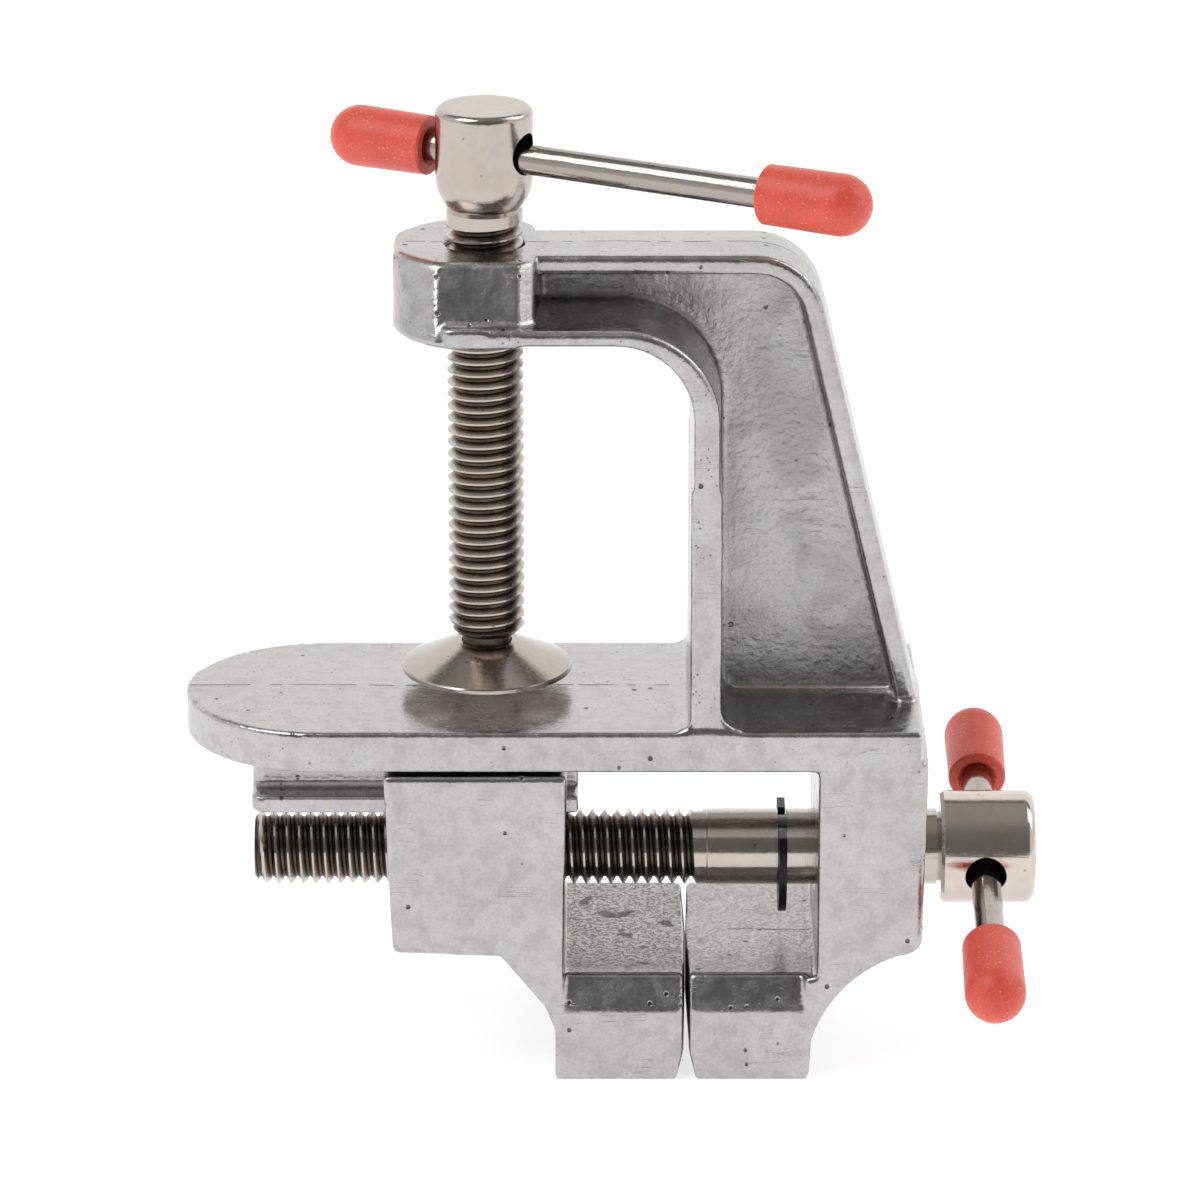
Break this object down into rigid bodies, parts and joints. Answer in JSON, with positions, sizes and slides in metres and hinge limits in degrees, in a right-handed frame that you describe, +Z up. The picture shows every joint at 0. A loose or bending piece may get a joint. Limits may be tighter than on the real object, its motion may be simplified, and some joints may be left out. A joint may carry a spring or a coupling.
{
  "type": "bench vise",
  "caption": "Small clamp-on bench vise with a C frame, a sliding jaw on a rail, a clamp screw with swivel pad, and sliding T bar handles.",
  "frame": {"origin": "on the ground, at the middle of the fixed jaw's flat end face; the vise stands on the ends of its two jaws, table clamp uppermost, and is turned over about X in use", "axes": "+X from the sliding jaw towards the vise's T bar handle, along the vise screw; +Y to the far side; +Z up, along the clamp screw, away from the jaws' end faces"},
  "size_m": [0.0858, 0.0523, 0.098],
  "materials": {
    "frame_casting": "die-cast, satin to glossy skin",
    "moving_jaw": "die-cast, satin skin with pitting",
    "screw_steel": "nickel-plated steel thread",
    "hub_steel": "nickel-plated, bright",
    "retaining_clip": "black oxide spring steel",
    "bar_steel": "nickel-plated, bright",
    "clamp_pad": "nickel-plated, bright",
    "vise_cap_front": "dipped red vinyl",
    "vise_cap_rear": "dipped red vinyl",
    "clamp_cap_left": "dipped red vinyl",
    "clamp_cap_right": "dipped red vinyl"
  },
  "bodies": {
    "frame": {"frame_casting": "frame_casting"},
    "sliding_jaw": {"moving_jaw": "moving_jaw"},
    "vise_screw_unit": {"vise_screw": "screw_steel", "vise_hub": "hub_steel", "retaining_clip": "retaining_clip"},
    "vise_handle": {"vise_tbar": "bar_steel", "vise_cap_front": "vise_cap_front", "vise_cap_rear": "vise_cap_rear"},
    "pad": {"clamp_pad": "clamp_pad"},
    "clamp_screw_unit": {"clamp_screw": "screw_steel"},
    "clamp_handle": {"clamp_tbar": "bar_steel", "clamp_cap_left": "clamp_cap_left", "clamp_cap_right": "clamp_cap_right"}
  },
  "joints": [
    {"name": "vise_screw_spin", "type": "hinge", "parent": "frame", "child": "vise_screw_unit", "pos_m": [0, 0, 0.0201], "axis": [1, 0, 0], "range_deg": [0, 5760]},
    {"name": "jaw_slide", "type": "slide", "parent": "frame", "child": "sliding_jaw", "axis": [-1, 0, 0], "range_m": [0, 0.02]},
    {"name": "vise_handle_slide", "type": "slide", "parent": "vise_screw_unit", "child": "vise_handle", "axis": [0, -0.9781, -0.2079], "range_m": [-0.0114, 0.0074]},
    {"name": "clamp_lift", "type": "slide", "parent": "frame", "child": "pad", "axis": [0, 0, 1], "range_m": [-0.0016, 0.03]},
    {"name": "clamp_screw_spin", "type": "hinge", "parent": "pad", "child": "clamp_screw_unit", "pos_m": [-0.0262, 0, 0], "axis": [0, 0, 1], "range_deg": [-460.8, 8640]},
    {"name": "clamp_handle_slide", "type": "slide", "parent": "clamp_screw_unit", "child": "clamp_handle", "axis": [0.8813, -0.4726, 0], "range_m": [-0.0258, 0.0007]}
  ],
  "couplings": [
    {"joint": "jaw_slide", "follows": "vise_screw_spin", "m_per_rad": 0.00019894},
    {"joint": "clamp_lift", "follows": "clamp_screw_spin", "m_per_rad": 0.00019894}
  ]
}
